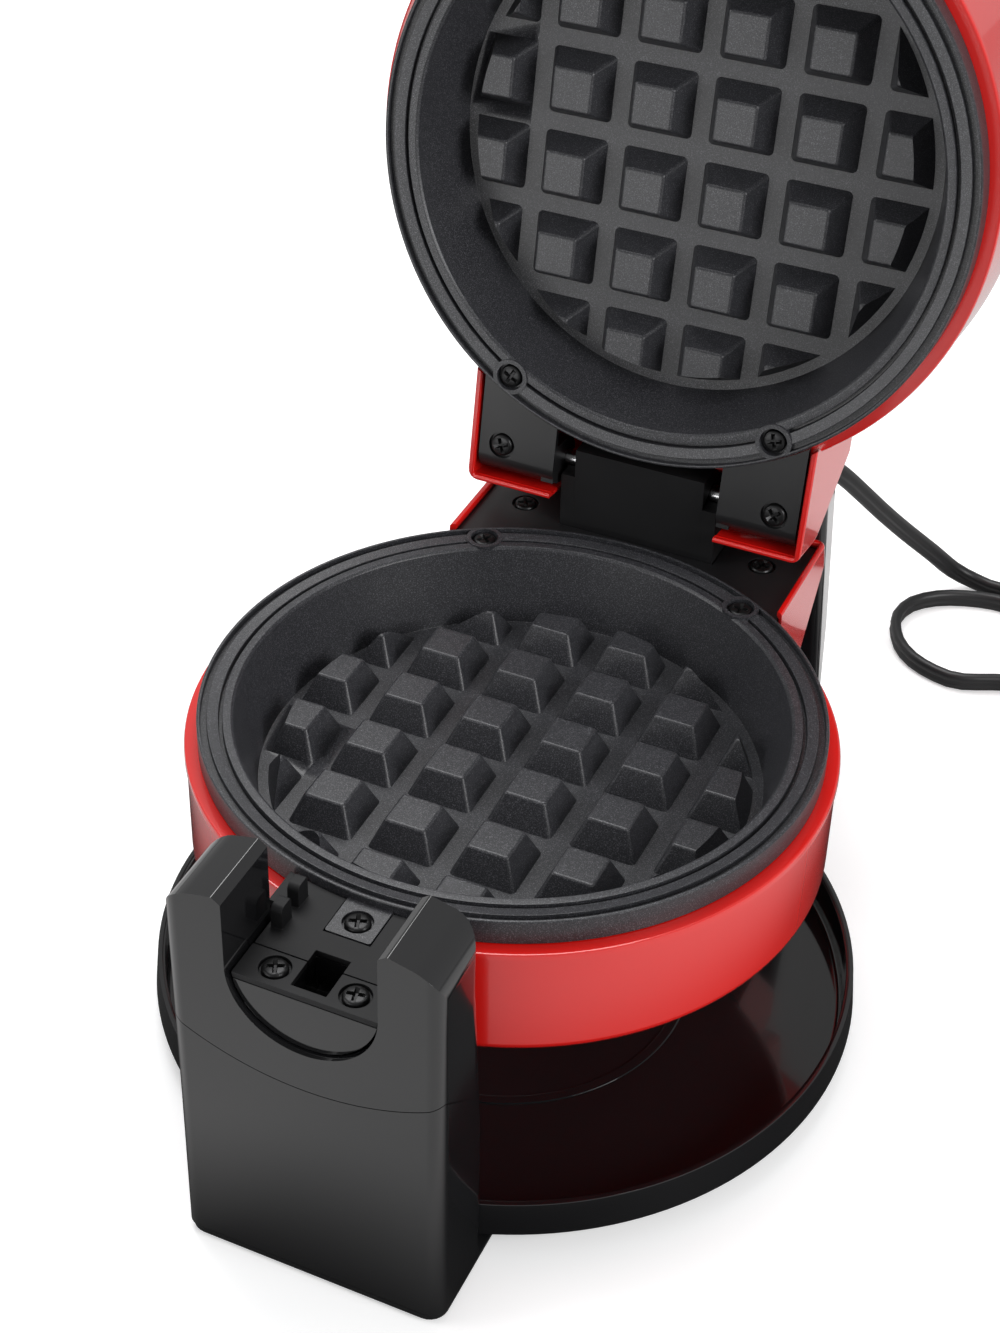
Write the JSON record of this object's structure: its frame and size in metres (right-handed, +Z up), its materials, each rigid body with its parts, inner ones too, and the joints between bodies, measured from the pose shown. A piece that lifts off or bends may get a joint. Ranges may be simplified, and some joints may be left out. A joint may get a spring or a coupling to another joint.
{
  "type": "rotary waffle maker",
  "caption": "Round waffle maker: a hinged lid over a grid plate, in a drum carried between a front cradle and a rear column above a dish.",
  "frame": {"origin": "on the table, under the middle of the box round the object without its cord, lid open", "axes": "+X to the right seen from the handle side, +Y from the handle side to the hinge and rear column, +Z up"},
  "size_m": [0.351, 0.4544, 0.4896],
  "materials": {
    "painted_red": "gloss red paint on sheet steel",
    "nonstick": "dark grey non-stick coat on cast aluminium, fine speckle",
    "gloss_black": "glossy black moulding",
    "satin_black": "satin black moulding",
    "black_screw": "blackened steel",
    "steel": "bright steel",
    "reflector_steel": "bare sheet",
    "rubber": "black rubber",
    "cord_black": "black flexible cord cover"
  },
  "bodies": {
    "stand": {"lower_housing": "painted_red", "lower_grid_plate": "nonstick", "base_dish": "gloss_black", "front_pillar": "gloss_black", "front_cradle": "gloss_black", "rear_column": "gloss_black", "bottom_plate": "satin_black", "neck": "satin_black", "neck_cover": "satin_black", "hub_cap": "satin_black", "hinge_block": "satin_black", "rear_cover": "satin_black", "lower_plate_screw_front": "black_screw", "lower_plate_screw_left": "black_screw", "lower_plate_screw_right": "black_screw", "rear_cover_screw_left": "black_screw", "rear_cover_screw_right": "black_screw", "hub_screw_left": "black_screw", "hub_screw_right": "black_screw", "bottom_screw_front_left": "black_screw", "bottom_screw_front_right": "black_screw", "bottom_screw_rear_left": "black_screw", "bottom_screw_rear_right": "black_screw", "hinge_pin": "steel", "rear_hub": "steel", "hub_retainer": "steel", "thermostat": "steel", "thermal_fuse": "steel", "lower_heating_element": "steel", "plug_blade_left": "steel", "plug_blade_right": "steel", "lower_reflector": "reflector_steel", "foot_front_left": "rubber", "foot_front_right": "rubber", "foot_rear_left": "rubber", "foot_rear_right": "rubber", "rear_bush": "rubber", "cord_strain_relief": "rubber", "cord_run": "cord_black", "cord_coil": "cord_black", "cord_tail": "cord_black", "plug_body": "cord_black"},
    "lid": {"upper_housing": "painted_red", "upper_grid_plate": "nonstick", "upper_heating_element": "steel", "upper_reflector": "reflector_steel", "lid_neck": "satin_black", "handle": "satin_black", "handle_screw": "black_screw", "lid_ear_left": "satin_black", "lid_ear_right": "satin_black", "ear_screw_left": "black_screw", "ear_screw_right": "black_screw", "upper_plate_screw_front": "black_screw", "upper_plate_screw_left": "black_screw", "upper_plate_screw_right": "black_screw"},
    "latch": {"latch_slider": "rubber"}
  },
  "joints": [
    {"name": "lid_hinge", "type": "hinge", "parent": "stand", "child": "lid", "pos_m": [0, 0.0955, 0.1417], "axis": [1, 0, 0], "range_deg": [0, 99.3]},
    {"name": "latch_slide", "type": "slide", "parent": "lid", "child": "latch", "axis": [0, -0.1616, -0.9869], "range_m": [0, 0.005], "stiffness_N_per_m": 300, "springref_m": -0.003}
  ]
}
